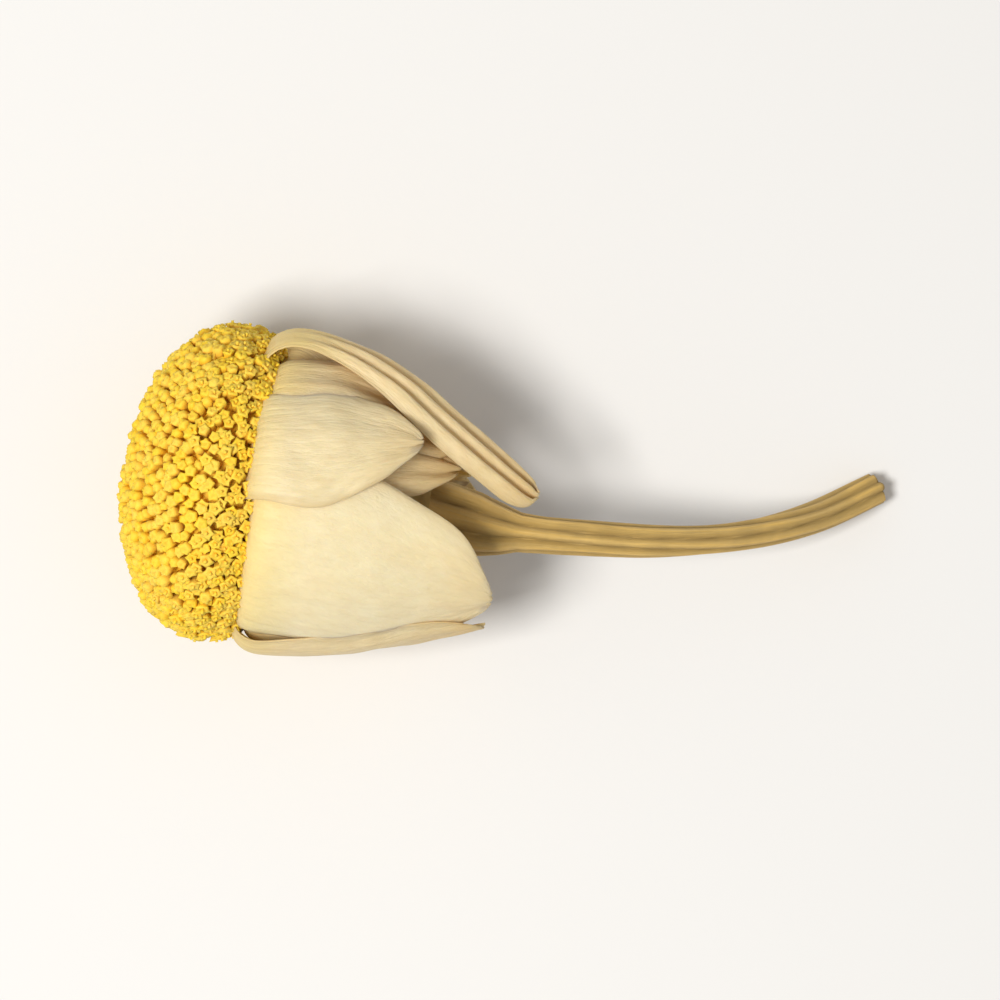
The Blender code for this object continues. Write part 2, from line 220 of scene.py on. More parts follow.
class StageSettings(bpy.types.PropertyGroup):
    """The ground, the light and the camera"""

    view_width: length("View width", "Width of ground that the camera sees", 0.0225)
    centre: FloatVectorProperty(
        name="View centre",
        description="Point that the camera looks at",
        default=(0.0037, 0.0, 0.0037),
        subtype="XYZ",
    )
    camera_height: length("Camera height", "Height of the camera over the view centre", 0.26)
    key_power: FloatProperty(
        name="Key light", description="Power of the main light", default=0.22, unit="POWER"
    )
    sky: FloatProperty(name="Sky", description="Strength of the light from all round", default=0.42)
    floor: colour("Floor", "Colour of the ground", (0.81, 0.81, 0.81))


def settings():
    """The scene's own copy of every setting."""
    return bpy.context.scene.chamomile


def head_matrix():
    """The matrix that lays the head down."""
    head = settings().head
    outwards = Vector((-math.cos(head.yaw), math.sin(head.yaw), 0.0))
    up = Vector((0.0, 0.0, 1.0))
    turn = Matrix((up, outwards.cross(up), outwards)).transposed()
    return Matrix.Translation(head.rim_back * outwards + head.axis_height * up) @ turn.to_4x4()


def past(value, start):
    """Share of the way from the start to 1."""
    return np.maximum(0.0, (value - start) / (1.0 - start))


def rising(value, start, end):
    """Eases from 0 at the start to 1 at the end."""
    share = np.clip((value - start) / (end - start), 0.0, 1.0)
    return share * share * (3.0 - 2.0 * share)


def through(value, stations):
    """Reads values off a line through (place, value) stations."""
    places, values = zip(*stations)
    return np.interp(value, places, values)


def unit(vectors):
    """The same directions at length one."""
    return vectors / np.maximum(np.linalg.norm(vectors, axis=-1, keepdims=True), 1e-12)


def running_length(points):
    """Length of a line up to each of its points."""
    return np.concatenate([[0.0], np.cumsum(np.linalg.norm(np.diff(points, axis=0), axis=1))])


def ripples(rng, s, c, count, low, high):
    """A smooth random field of about unit size over a sheet, made of waves of low to high turns."""
    total = np.zeros(np.broadcast(s, c).shape)
    for _ in range(count):
        along = rng.uniform(low, high)
        across = rng.uniform(-high, high) / 2.0
        start = rng.uniform(0.0, math.tau)
        total += np.sin(math.tau * (along * s + across * c / 2.0) + start)
    return total / math.sqrt(count)


def from_middle(steps):
    """Running sums across a sheet, counted from its middle."""
    total = np.cumsum(steps, axis=1)
    middle = steps.shape[1] // 2
    return total - total[:, middle : middle + 1]


def round_axis(turn, reach, side, height):
    """Points at a reach from the head's axis, a step to the side and a height, all turned about it."""
    x = np.cos(turn) * reach - np.sin(turn) * side
    y = np.sin(turn) * reach + np.cos(turn) * side
    return np.stack(np.broadcast_arrays(x, y, height), axis=2)


def two_sides(points, facing, thick):
    """Outer and inner surfaces of a sheet about its middle, which faces roughly as given."""
    away = unit(np.cross(np.gradient(points, axis=0), np.gradient(points, axis=1)))
    away *= np.sign((away * facing).sum()) * thick[:, :, None]
    return points + away, points - away


def write_values(mesh, key, values):
    """Stores one number for each point of a mesh."""
    mesh.attributes.new(key, "FLOAT", "POINT").data.foreach_set("value", values)


def shells(name, sheets, matrix):
    """Makes one mesh of closed thin shells, each from an outer and an inner grid of points."""
    points, faces = [], []
    values = {key: [] for key in sheets[0][2]}
    first = 0
    for outer, inner, fields in sheets:
        shape = outer.shape[:2]
        size = shape[0] * shape[1]
        points += [outer.reshape(-1, 3), inner.reshape(-1, 3)]
        number = np.arange(size).reshape(shape) + first
        quads = (number[:-1, :-1], number[1:, :-1], number[1:, 1:], number[:-1, 1:])
        front = np.stack([part.ravel() for part in quads], axis=1)
        rim = np.concatenate([number[0, :-1], number[:-1, -1], number[-1, :0:-1], number[:0:-1, 0]])
        ahead = np.roll(rim, -1)
        edge = np.stack([rim, ahead, ahead + size, rim + size], axis=1)
        faces += front.tolist() + (front[:, ::-1] + size).tolist() + edge.tolist()
        for key, field in fields.items():
            values[key] += [np.broadcast_to(field, shape).ravel()] * 2
        first += 2 * size
    mesh = bpy.data.meshes.new(name)
    mesh.from_pydata(np.concatenate(points).tolist(), [], faces)
    for key, blocks in values.items():
        write_values(mesh, key, np.concatenate(blocks))
    outward(mesh)
    mesh.transform(matrix)
    return mesh


def outward(mesh):
    """Points a closed mesh's faces outwards and shades it smooth."""
    solid = bmesh.new()
    solid.from_mesh(mesh)
    bmesh.ops.recalc_face_normals(solid, faces=solid.faces)
    solid.to_mesh(mesh)
    solid.free()
    mesh.shade_smooth()


def lathe(name, profile, steps, matrix):
    """A closed solid of revolution from (radius, height) points whose ends lie on the axis."""
    mesh = bpy.data.meshes.new(name)
    solid = bmesh.new()
    turns = [math.tau * step / steps for step in range(steps)]
    first = solid.verts.new((0.0, 0.0, profile[0][1]))
    last = solid.verts.new((0.0, 0.0, profile[-1][1]))
    rings = [
        [solid.verts.new((radius * math.cos(turn), radius * math.sin(turn), height)) for turn in turns]
        for radius, height in profile[1:-1]
    ]
    for step in range(steps):
        ahead = (step + 1) % steps
        solid.faces.new((first, rings[0][step], rings[0][ahead]))
        solid.faces.new((last, rings[-1][ahead], rings[-1][step]))
        for upper, lower in zip(rings, rings[1:]):
            solid.faces.new((upper[step], lower[step], lower[ahead], upper[ahead]))
    solid.to_mesh(mesh)
    solid.free()
    outward(mesh)
    mesh.transform(matrix)
    return mesh


def linked(name, data):
    """A new object in the scene."""
    made = bpy.data.objects.new(name, data)
    bpy.context.scene.collection.objects.link(made)
    return made


def place_piece(name, mesh, material, replaces=()):
    """Links a finished mesh as a piece of the flower."""
    piece = linked(name, mesh)
    mesh.materials.clear()
    mesh.materials.append(material)
    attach(piece, "root")
    if replaces:
        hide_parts(*replaces)
    return piece


def feed(tree, socket, value):
    """Links or sets a node's input."""
    if isinstance(value, bpy.types.NodeSocket):
        tree.links.new(value, socket)
    else:
        socket.default_value = value


def add_node(tree, kind, inputs=None, **values):
    """Adds a node, and sets or links its inputs by name or number."""
    node = tree.nodes.new(kind)
    for key, value in values.items():
        setattr(node, key, value)
    for key, value in (inputs or {}).items():
        feed(tree, node.inputs[key], value)
    return node


def maths(tree, operation, *values):
    """A Math node's result."""
    return add_node(tree, "ShaderNodeMath", dict(enumerate(values)), operation=operation).outputs[0]


def vector_maths(tree, operation, inputs):
    """A Vector Math node's result."""
    return add_node(tree, "ShaderNodeVectorMath", inputs, operation=operation).outputs[0]


def vector(tree, x, y, z):
    """A vector made of three values."""
    return add_node(tree, "ShaderNodeCombineXYZ", {0: x, 1: y, 2: z}).outputs[0]


def attribute(tree, name):
    """A vertex attribute's value."""
    return add_node(tree, "ShaderNodeAttribute", attribute_name=name).outputs["Fac"]


def mapped(tree, value, low, high):
    """A value's way from low to high, as 0 to 1."""
    inputs = {"Value": value, "From Min": low, "From Max": high}
    return add_node(tree, "ShaderNodeMapRange", inputs).outputs[0]


def noise(tree, spot, scale, detail, roughness):
    """A noise texture's value."""
    inputs = {"Vector": spot, "Scale": scale, "Detail": detail, "Roughness": roughness}
    return add_node(tree, "ShaderNodeTexNoise", inputs).outputs["Fac"]


def mixed(tree, factor, first, second):
    """A mix of two colours, each a socket or an RGB value."""
    inputs = {0: factor}
    for number, value in ((6, first), (7, second)):
        inputs[number] = value if isinstance(value, bpy.types.NodeSocket) else (*value, 1.0)
    return add_node(tree, "ShaderNodeMix", inputs, data_type="RGBA").outputs[2]


def tinted(tree, base, mask, share, tint):
    """A colour with a share of a tint where a mask is white."""
    return mixed(tree, maths(tree, "MULTIPLY", mask, share), base, tint)


def new_group(name, kind, inputs, outputs):
    """A node group with sockets of given names and types, its input node and its output node."""
    tree = bpy.data.node_groups.new(name, kind)
    for way, sockets in (("INPUT", inputs), ("OUTPUT", outputs)):
        for title, socket in sockets.items():
            tree.interface.new_socket(title, in_out=way, socket_type=f"NodeSocket{socket}")
    return tree, tree.nodes.new("NodeGroupInput"), tree.nodes.new("NodeGroupOutput")


def dry_mottle():
    """Group: blotches and fine grain of dried tissue, as a mask and a height."""
    name = "Dry mottle"
    if name in bpy.data.node_groups:
        return bpy.data.node_groups[name]
    inputs = {"Scale": "Float", "Seed": "Float"}
    tree, given, result = new_group(name, "ShaderNodeTree", inputs, {"Mask": "Float", "Height": "Float"})
    where = add_node(tree, "ShaderNodeTexCoord").outputs["Object"]
    scaled = vector_maths(tree, "SCALE", {0: where, "Scale": given.outputs["Scale"]})
    seed = given.outputs["Seed"]
    spot = vector_maths(tree, "ADD", {0: scaled, 1: vector(tree, seed, seed, 0.0)})
    broad = noise(tree, spot, 1.0, 4.0, 0.6)
    fine = noise(tree, spot, 7.0, 5.0, 0.65)
    feed(tree, result.inputs["Mask"], mapped(tree, broad, 0.32, 0.70))
    feed(tree, result.inputs["Height"], maths(tree, "MULTIPLY_ADD", fine, 0.5, broad))
    return tree


def long_fibres():
    """Group: fibres that run along a petal, a bract or the stalk, as a mask and a height."""
    name = "Long fibres"
    if name in bpy.data.node_groups:
        return bpy.data.node_groups[name]
    inputs = {"Across scale": "Float", "Along scale": "Float", "Seed": "Float"}
    tree, given, result = new_group(name, "ShaderNodeTree", inputs, {"Mask": "Float", "Height": "Float"})
    across = maths(tree, "MULTIPLY", attribute(tree, "across"), given.outputs["Across scale"])
    along = maths(tree, "MULTIPLY", attribute(tree, "along"), given.outputs["Along scale"])
    tone_shift = 37.0
    shift = maths(tree, "MULTIPLY_ADD", attribute(tree, "tone"), tone_shift, given.outputs["Seed"])
    fibre = noise(tree, vector(tree, across, along, shift), 1.0, 4.0, 0.6)
    feed(tree, result.inputs["Mask"], mapped(tree, fibre, 0.35, 0.65))
    feed(tree, result.inputs["Height"], fibre)
    return tree


def use_group(tree, group, **values):
    """Places a shader group with its own values and gives its outputs."""
    inputs = {key.replace("_", " "): value for key, value in values.items()}
    return add_node(tree, "ShaderNodeGroup", inputs, node_tree=group).outputs


def new_material(name):
    """A material with its Principled shader."""
    made = bpy.data.materials.new(name)
    made.use_nodes = True
    return made, made.node_tree, made.node_tree.nodes["Principled BSDF"]


def soften(shader, weight, radius, scale):
    """Lets light seep through thin dry tissue."""
    shader.inputs["Subsurface Weight"].default_value = weight
    shader.inputs["Subsurface Radius"].default_value = radius
    shader.inputs["Subsurface Scale"].default_value = scale


def surfaced(tree, shader, base, roughness, height, strength, distance):
    """Feeds a shader its colour, roughness and bump."""
    feed(tree, shader.inputs["Base Color"], base)
    feed(tree, shader.inputs["Roughness"], roughness)
    inputs = {"Height": height, "Strength": strength, "Distance": distance}
    feed(tree, shader.inputs["Normal"], add_node(tree, "ShaderNodeBump", inputs).outputs["Normal"])


def floret_material():
    """Golden florets: bright at the tips, with painted shade deeper down between them."""
    disc = settings().disc
    made, tree, shader = new_material("Dry florets")
    mottle = use_group(tree, dry_mottle(), Scale=2600.0, Seed=3.0)
    # Painted shade: the florets darken towards their feet, between one another
    base = mixed(tree, mapped(tree, attribute(tree, "tip"), 0.45, 1.0), disc.painted_shade, disc.bright)
    spotted = tinted(tree, base, mottle["Mask"], 0.28, FLORET_SPOT)
    aged = tinted(tree, spotted, attribute(tree, "tone"), 0.35, FLORET_FADED)
    rough = maths(tree, "MULTIPLY_ADD", mottle["Mask"], 0.15, 0.62)
    soften(shader, 0.2, (1.0, 0.7, 0.2), 0.0002)
    surfaced(tree, shader, aged, rough, mottle["Height"], 0.5, 0.00003)
    return made


def petal_material():
    """Papery cream petals with lengthwise veins, tanned edges and dry blotches."""
    petals = settings().petals
    made, tree, shader = new_material("Dry petals")
    mottle = use_group(tree, dry_mottle(), Scale=900.0, Seed=7.0)
    fibres = use_group(tree, long_fibres(), Across_scale=11.0, Along_scale=2.2, Seed=2.0)
    tone = attribute(tree, "tone")
    place = attribute(tree, "end")
    age = maths(tree, "MULTIPLY_ADD", mapped(tree, place, 0.72, 1.0), 0.45, tone)
    aged = mixed(tree, age, petals.pale, petals.tan)
    base = tinted(tree, aged, mapped(tree, place, 0.32, 0.16), 0.55, petals.root)
    faded = tinted(tree, base, mottle["Mask"], 0.22, PETAL_SPOT)
    vein = maths(tree, "MULTIPLY_ADD", tone, 0.35, 0.12)
    veined = tinted(tree, faded, fibres["Mask"], vein, PETAL_VEIN)
    edge = mapped(tree, maths(tree, "ABSOLUTE", attribute(tree, "across")), 0.86, 1.0)
    edged = tinted(tree, veined, edge, 0.45, PETAL_EDGE)
    rough = maths(tree, "MULTIPLY_ADD", fibres["Mask"], 0.2, 0.5)
    soften(shader, 0.45, (1.0, 0.75, 0.45), 0.00035)
    height = maths(tree, "MULTIPLY_ADD", mottle["Height"], 0.35, fibres["Height"])
    surfaced(tree, shader, edged, rough, height, 0.7, 0.00008)
    return made


def bract_material():
    """Olive bracts with a pale papery margin and dark fibres."""
    cup = settings().involucre
    made, tree, shader = new_material("Dry bracts")
    mottle = use_group(tree, dry_mottle(), Scale=1400.0, Seed=13.0)
    fibres = use_group(tree, long_fibres(), Across_scale=6.0, Along_scale=1.5, Seed=5.0)
    edge = mapped(tree, maths(tree, "ABSOLUTE", attribute(tree, "across")), 0.45, 0.9)
    base = mixed(tree, edge, cup.body, cup.margin)
    streaked = tinted(tree, base, fibres["Mask"], 0.35, BRACT_STREAK)
    spotted = tinted(tree, streaked, mottle["Mask"], 0.3, BRACT_SPOT)
    soften(shader, 0.2, (1.0, 0.7, 0.3), 0.0003)
    height = maths(tree, "MULTIPLY_ADD", mottle["Height"], 0.4, fibres["Height"])
    surfaced(tree, shader, spotted, 0.7, height, 0.6, 0.00005)
    return made


def stalk_material():
    """Straw-olive stalk: pale on the ribs, dark in the furrows, with long fibres."""
    stalk = settings().stalk
    made, tree, shader = new_material("Dry stalk")
    mottle = use_group(tree, dry_mottle(), Scale=1100.0, Seed=21.0)
    fibres = use_group(tree, long_fibres(), Across_scale=16.0, Along_scale=6.0, Seed=9.0)
    base = mixed(tree, attribute(tree, "tone"), stalk.furrow, stalk.ridge)
    streaked = tinted(tree, base, fibres["Mask"], 0.35, STALK_STREAK)
    spotted = tinted(tree, streaked, mottle["Mask"], 0.35, STALK_SPOT)
    height = maths(tree, "MULTIPLY_ADD", mottle["Height"], 0.3, fibres["Height"])
    surfaced(tree, shader, spotted, 0.62, height, 0.7, 0.00006)
    return made


def floret_shape(name, rings, crown, style, rng):
    """One tubular floret: lobed rings closed by a crown point, with a style if it is open."""
    solid = bmesh.new()
    # The tip mark runs from 0 low in the floret, painted in shade, to 1 at its bright top
    tip = solid.verts.layers.float.new("tip")
    sides = 10
    spread = rng.uniform(0.55, 1.5, sides)
    lift = rng.uniform(-0.07, 0.07, sides)
    squash = rng.uniform(0.82, 1.0)
    loops = []
    for height, radius, lobe, mark in rings:
        loop = []
        for step in range(sides):
            turn = math.tau * (step + rng.uniform(-0.15, 0.15)) / sides
            reach = MM * (radius + lobe * (spread[step] if step % 2 == 0 else -spread[step]))
            level = MM * height * (1.0 + lift[step])
            vert = solid.verts.new((reach * math.cos(turn), squash * reach * math.sin(turn), level))
            vert[tip] = mark
            loop.append(vert)
        loops.append(loop)
    for lower, upper in zip(loops, loops[1:]):
        for step in range(sides):
            ahead = (step + 1) % sides
            solid.faces.new((lower[step], lower[ahead], upper[ahead], upper[step]))
    top = solid.verts.new((0.0, 0.0, MM * crown[0]))
    top[tip] = crown[1]
    for step in range(sides):
        solid.faces.new((loops[-1][step], loops[-1][(step + 1) % sides], top))
    solid.faces.new(reversed(loops[0]))
    if style:
        low, high, radius = (MM * value for value in style)
        made = bmesh.ops.create_cone(
            solid, cap_ends=True, segments=5, radius1=radius * 0.6, radius2=radius, depth=high - low
        )
        middle = (low + high) / 2.0
        for vert in made["verts"]:
            vert.co.z += middle
            # The style's top is bright and its foot takes some painted shade
            vert[tip] = 1.0 if vert.co.z > middle else 0.7
    mesh = bpy.data.meshes.new(name)
    solid.to_mesh(mesh)
    solid.free()
    outward(mesh)
    return linked(name, mesh)


def floret_tree(kinds):
    """Geometry Nodes: florets on a golden-angle spiral over the dome."""
    sizes = ("Core radius", "Core depth", "Rim lift", "Rim tuck", "End angle", "Size")
    inputs = {"Geometry": "Geometry", "Count": "Int", "Places": "Int", "Seed": "Int"}
    inputs.update(dict.fromkeys(sizes, "Float"), Material="Material")
    tree, given, result = new_group(
        "Floret spiral", "GeometryNodeTree", inputs, {"Geometry": "Geometry"}
    )
    value = given.outputs

    def calc(operation, *values):
        return maths(tree, operation, *values)

    def draw(low, high, shift):
        inputs = {2: low, 3: high, 8: calc("ADD", value["Seed"], shift)}
        return add_node(tree, "FunctionNodeRandomValue", inputs, data_type="FLOAT").outputs[1]

    def draw_vector(spread, shift):
        inputs = {0: (-spread,) * 3, 1: (spread,) * 3, 8: calc("ADD", value["Seed"], shift)}
        return add_node(tree, "FunctionNodeRandomValue", inputs, data_type="FLOAT_VECTOR").outputs[0]

    # Rise and reach on a ball of radius 1, spread evenly from the top down to the end angle
    index = add_node(tree, "GeometryNodeInputIndex").outputs[0]
    share = calc("DIVIDE", calc("ADD", index, 0.5), value["Places"])
    fall = calc("SUBTRACT", 1.0, calc("COSINE", value["End angle"]))
    rise = calc("SUBTRACT", 1.0, calc("MULTIPLY", share, fall))
    reach = calc("SQRT", calc("SUBTRACT", 1.0, calc("MULTIPLY", rise, rise)))
    turn = calc("MULTIPLY", index, GOLDEN_ANGLE)
    east = calc("COSINE", turn)
    north = calc("SINE", turn)

    # The same on the dome, with its normal
    radius = calc("MULTIPLY", value["Core radius"], reach)
    crown = calc("SUBTRACT", value["Core depth"], value["Rim lift"])
    above = calc("MULTIPLY", calc("MAXIMUM", rise, 0.0), crown)
    below = calc("MULTIPLY", calc("MINIMUM", rise, 0.0), value["Rim tuck"])
    height = calc("ADD", value["Rim lift"], calc("ADD", above, below))
    spot = vector(tree, calc("MULTIPLY", radius, east), calc("MULTIPLY", radius, north), height)
    lean = calc("DIVIDE", reach, value["Core radius"])
    steep = calc("DIVIDE", rise, crown)
    normal = vector(tree, calc("MULTIPLY", lean, east), calc("MULTIPLY", lean, north), steep)
    line = add_node(tree, "GeometryNodeMeshLine", {"Count": value["Count"]}).outputs[0]
    inputs = {"Geometry": line, "Position": spot, "Offset": draw_vector(0.00005, 1.0)}
    points = add_node(tree, "GeometryNodeSetPosition", inputs).outputs[0]

    # Each floret leans a little off the normal and is spun about itself
    upright = vector_maths(tree, "NORMALIZE", {0: normal})
    leaning = vector_maths(tree, "ADD", {0: upright, 1: draw_vector(0.16, 2.0)})
    aligned = add_node(tree, "FunctionNodeAlignRotationToVector", {"Vector": leaning}, axis="Z").outputs[0]
    inputs = {"Axis": (0.0, 0.0, 1.0), "Angle": draw(0.0, 6.283, 3.0)}
    spin = add_node(tree, "FunctionNodeAxisAngleToRotation", inputs).outputs[0]
    inputs = {"Rotation": aligned, "Rotate By": spin}
    turned = add_node(tree, "FunctionNodeRotateRotation", inputs, rotation_space="LOCAL").outputs[0]

    # Buds stand at the top and open florets lower down, where they also grow larger
    gather = add_node(tree, "GeometryNodeJoinGeometry")
    for kind in reversed(kinds):
        info = add_node(tree, "GeometryNodeObjectInfo", {"Object": kind, "As Instance": True})
        tree.links.new(info.outputs["Geometry"], gather.inputs[0])
    oldest = len(FLORET_AGES) - 0.5
    age = calc("MULTIPLY_ADD", share, 3.4, draw(-1.0, 0.8, 4.0))
    age = calc("FLOOR", calc("MINIMUM", calc("MAXIMUM", age, 0.0), oldest))
    pick = calc("MULTIPLY_ADD", age, float(DRAWS), calc("FLOOR", draw(0.0, DRAWS - 0.001, 7.0)))
    grown = calc("MULTIPLY_ADD", calc("SQRT", share), 0.26, 0.80)
    scale = calc("MULTIPLY", calc("MULTIPLY", grown, value["Size"]), draw(0.86, 1.12, 5.0))
    inputs = {
        "Points": points,
        "Instance": gather.outputs[0],
        "Pick Instance": True,
        "Instance Index": pick,
        "Rotation": turned,
        "Scale": scale,
    }
    florets = add_node(tree, "GeometryNodeInstanceOnPoints", inputs).outputs[0]
    inputs = {"Geometry": florets, "Name": "tone", "Value": draw(0.0, 1.0, 6.0)}
    toned = add_node(
        tree, "GeometryNodeStoreNamedAttribute", inputs, data_type="FLOAT", domain="INSTANCE"
    ).outputs[0]
    real = add_node(tree, "GeometryNodeRealizeInstances", {"Geometry": toned}).outputs[0]
    inputs = {"Geometry": real, "Material": value["Material"]}
    feed(tree, result.inputs[0], add_node(tree, "GeometryNodeSetMaterial", inputs).outputs[0])
    return tree


def grown_mesh(name, tree, values):
    """Runs a Geometry Nodes tree on an empty mesh and returns the result as a plain mesh."""
    seed = linked(name, bpy.data.meshes.new(name))
    modifier = seed.modifiers.new(name, "NODES")
    modifier.node_group = tree
    for item in tree.interface.items_tree:
        if item.item_type == "SOCKET" and item.in_out == "INPUT" and item.name in values:
            modifier[item.identifier] = values[item.name]
    bpy.context.view_layer.update()
    graph = bpy.context.evaluated_depsgraph_get()
    mesh = bpy.data.meshes.new_from_object(seed.evaluated_get(graph))
    bpy.data.objects.remove(seed)
    return mesh


class CHAMOMILE_OT_disc(bpy.types.Operator):
    """Build the yellow disc: its receptacle and the spiral of florets"""

    bl_idname = "chamomile.disc"
    bl_label = "Disc"

    def execute(self, context):
        disc = settings().disc
        matrix = head_matrix()
        material = floret_material()
        rng = np.random.default_rng(disc.seed)
        kinds = [
            floret_shape(f"floret {age} {draw}", *shape, rng)
            for age, shape in enumerate(FLORET_AGES)
            for draw in range(DRAWS)
        ]
        values = {
            "Count": disc.count,
            "Places": disc.places,
            "Seed": disc.seed,
            "Core radius": disc.core_radius,
            "Core depth": disc.core_depth,
            "Rim lift": disc.rim_lift,
            "Rim tuck": disc.rim_tuck,
            "End angle": math.radians(126.0),
            "Size": disc.size,
            "Material": material,
        }
        florets = grown_mesh("florets", floret_tree(kinds), values)
        for kind in kinds:
            bpy.data.objects.remove(kind)
        florets.transform(matrix)
        place_piece("florets", florets, material, ("disc_florets",))

        # The dome under them, closed by a plug that reaches into the cup
        rings = 24
        end = 128.0
        plug_radius, plug_foot = 0.0024, -0.0010
        profile = [(0.0, disc.core_depth)]
        for ring in range(1, rings + 1):
            polar = math.radians(end * ring / rings)
            rise = math.cos(polar)
            tall = disc.core_depth - disc.rim_lift if rise > 0.0 else disc.rim_tuck
            profile.append((disc.core_radius * math.sin(polar), disc.rim_lift + rise * tall))
        profile += [(plug_radius, plug_foot), (0.0, plug_foot)]
        core = lathe("receptacle", profile, 96, matrix)
        # With its tip mark left at zero the dome takes the florets' painted shade colour all over
        for key in ("tip", "tone"):
            core.attributes.new(key, "FLOAT", "POINT")
        place_piece("receptacle", core, material)
        return {"FINISHED"}


def petal_line(run, tilt, speed, stand):
    """A petal's line as lengths, points (radius, height) and outward directions."""
    # It leaves the ring outwards and folds back over the rim in a quarter turn
    ring, ring_drop = 0.0025, 0.0001
    top, fold, bend = -0.0003, 0.0035, 0.00042
    line = [(ring, top - ring_drop)]
    for turn in np.radians(np.linspace(0.0, 90.0, 9)):
        line.append((fold - bend + bend * math.sin(turn), top - bend + bend * math.cos(turn)))

    # Then it runs back, and leans in until it meets what is under it
    radius, height = line[-1]
    steps = 40
    for step in range(1, steps + 1):
        lean = math.radians(tilt) * min(1.0, speed * step / steps)
        radius -= run / steps * math.tan(lean)
        height -= run / steps
        line.append((max(radius, through(-height, CLEAR_LINE)), height))

    # Even steps, smoothed by a sliding window
    line = np.array(line)
    lengths = running_length(line)
    even = np.linspace(0.0, lengths[-1], 161)
    line = np.stack([np.interp(even, lengths, part) for part in line.T], axis=1)
    window = 15
    kernel = np.hanning(window) / np.hanning(window).sum()
    padded = np.pad(line, ((window // 2,) * 2, (0, 0)), mode="reflect", reflect_type="odd")
    line = np.stack([np.convolve(part, kernel, mode="valid") for part in padded.T], axis=1)
    step = unit(np.gradient(line, axis=0))
    normals = np.stack([-step[:, 1], step[:, 0]], axis=1)
    return even, line + normals * stand, normals


def petal_sheet(row, number):
    """Outer and inner surfaces of one folded-back petal."""
    layer, azimuth, swing, width, run, tilt, speed, root, taper, ridges, pleat, crumple, tone = row
    petals = settings().petals
    rng = np.random.default_rng(petals.seed + number)
    lengths, line, normals = petal_line(run, tilt, speed, 0.00024 - 0.00014 * layer)
    s = np.linspace(0.0, 1.0, petals.along + 1)[:, None]
    c = np.linspace(-1.0, 1.0, petals.across + 1)[None, :]

    # The tip is cut back by two notches, rounded and frayed
    notch, rounding, fray = 0.008 + 0.07 * crumple, 0.03, 0.006
    notches = 0.5 - 0.5 * np.cos(3.0 * math.pi * c)
    frayed = ripples(rng, s * 0.0, c, 5, 1.5, 6.0)
    reach = s * (1.0 - s**5 * (notch * notches + rounding * c**4 + fray * frayed))
    at = reach * lengths[-1]
    parts = (line[:, 0], line[:, 1], normals[:, 0], normals[:, 1])
    radius, height, out_r, out_z = (np.interp(at, lengths, part) for part in parts)

    # It widens from the root, tapers and rounds off, with an uneven outline
    full = root + (1.0 - root) * rising(s, 0.08, 0.55)
    full = full * (1.0 - taper * past(s, 0.35) ** 1.5)
    full = full * np.sqrt(1.0 - 0.95 * past(s, 0.66) ** 3.2)
    half = 0.5 * width * full * (1.0 + 0.035 * ripples(rng, s, np.sign(c) * 0.5, 4, 1.0, 3.0))

    # It bows over the cup, folds along a crease and curls at its edges
    bow, crease_width = 0.0034, 0.08
    crease = rng.uniform(-0.35, 0.35)
    curl = rng.uniform(0.6, 1.4)
    fold = np.exp(-(((c - crease) / crease_width) ** 2)) / (crease_width * half)
    bend = 1.0 / bow + crumple * fold * rising(s, 0.0, 0.3)
    bend = bend + curl * crumple * np.abs(c) ** 4 / half * rising(s, 0.3, 0.8)
    step = half * (2.0 / petals.across)
    angle = from_middle(bend * step)
    side = from_middle(np.cos(angle) * step)
    sink = from_middle(np.sin(angle) * step)

    # Ridges, then broad and fine wrinkles, stand out from it
    wave = np.cos(math.pi * ridges * c) * (1.0 if ridges % 2 else -1.0)
    wrinkle = petals.wrinkle * (0.35 + 1.4 * crumple)
    rise = pleat * wave * rising(s, 0.1, 0.5)
    rise = rise + wrinkle * ripples(rng, s, c, 7, 0.6, 2.6) * rising(s, 0.15, 0.55)
    rise = rise + 0.35 * wrinkle * ripples(rng, s, c * 2.0, 9, 2.0, 7.0) * rising(s, 0.1, 0.4)
    turn = np.radians(azimuth + swing * past(reach, 0.2) ** 1.2)
    middle = round_axis(turn, radius + rise * out_r - sink, side, height + rise * out_z)
    facing = round_axis(turn, out_r, 0.0, out_z)
    thick = 0.5 * petals.thickness * (1.0 - 0.7 * c**6) * (1.0 - 0.6 * s**12)
    outer, inner = two_sides(middle, facing, thick)

    # The ground holds it up, and an inner petal lies a little higher than an outer one
    ground = 0.0001 * max(0.0, layer) - settings().head.axis_height
    outer[:, :, 0] = np.maximum(outer[:, :, 0], ground)
    inner[:, :, 0] = np.maximum(inner[:, :, 0], ground + 2.0 * thick)
    fields = {"across": c, "along": s * run * 1000.0 + number * 7.0, "tone": tone, "end": s}
    return outer, inner, fields


class CHAMOMILE_OT_petals(bpy.types.Operator):
    """Build the cream ray petals, folded back over the cup"""

    bl_idname = "chamomile.petals"
    bl_label = "Ray petals"

    def execute(self, context):
        sheets = [petal_sheet(row, number) for number, row in enumerate(PETALS)]
        mesh = shells("petals", sheets, head_matrix())
        place_piece("petals", mesh, petal_material(), ("ray_petals",))
        return {"FINISHED"}


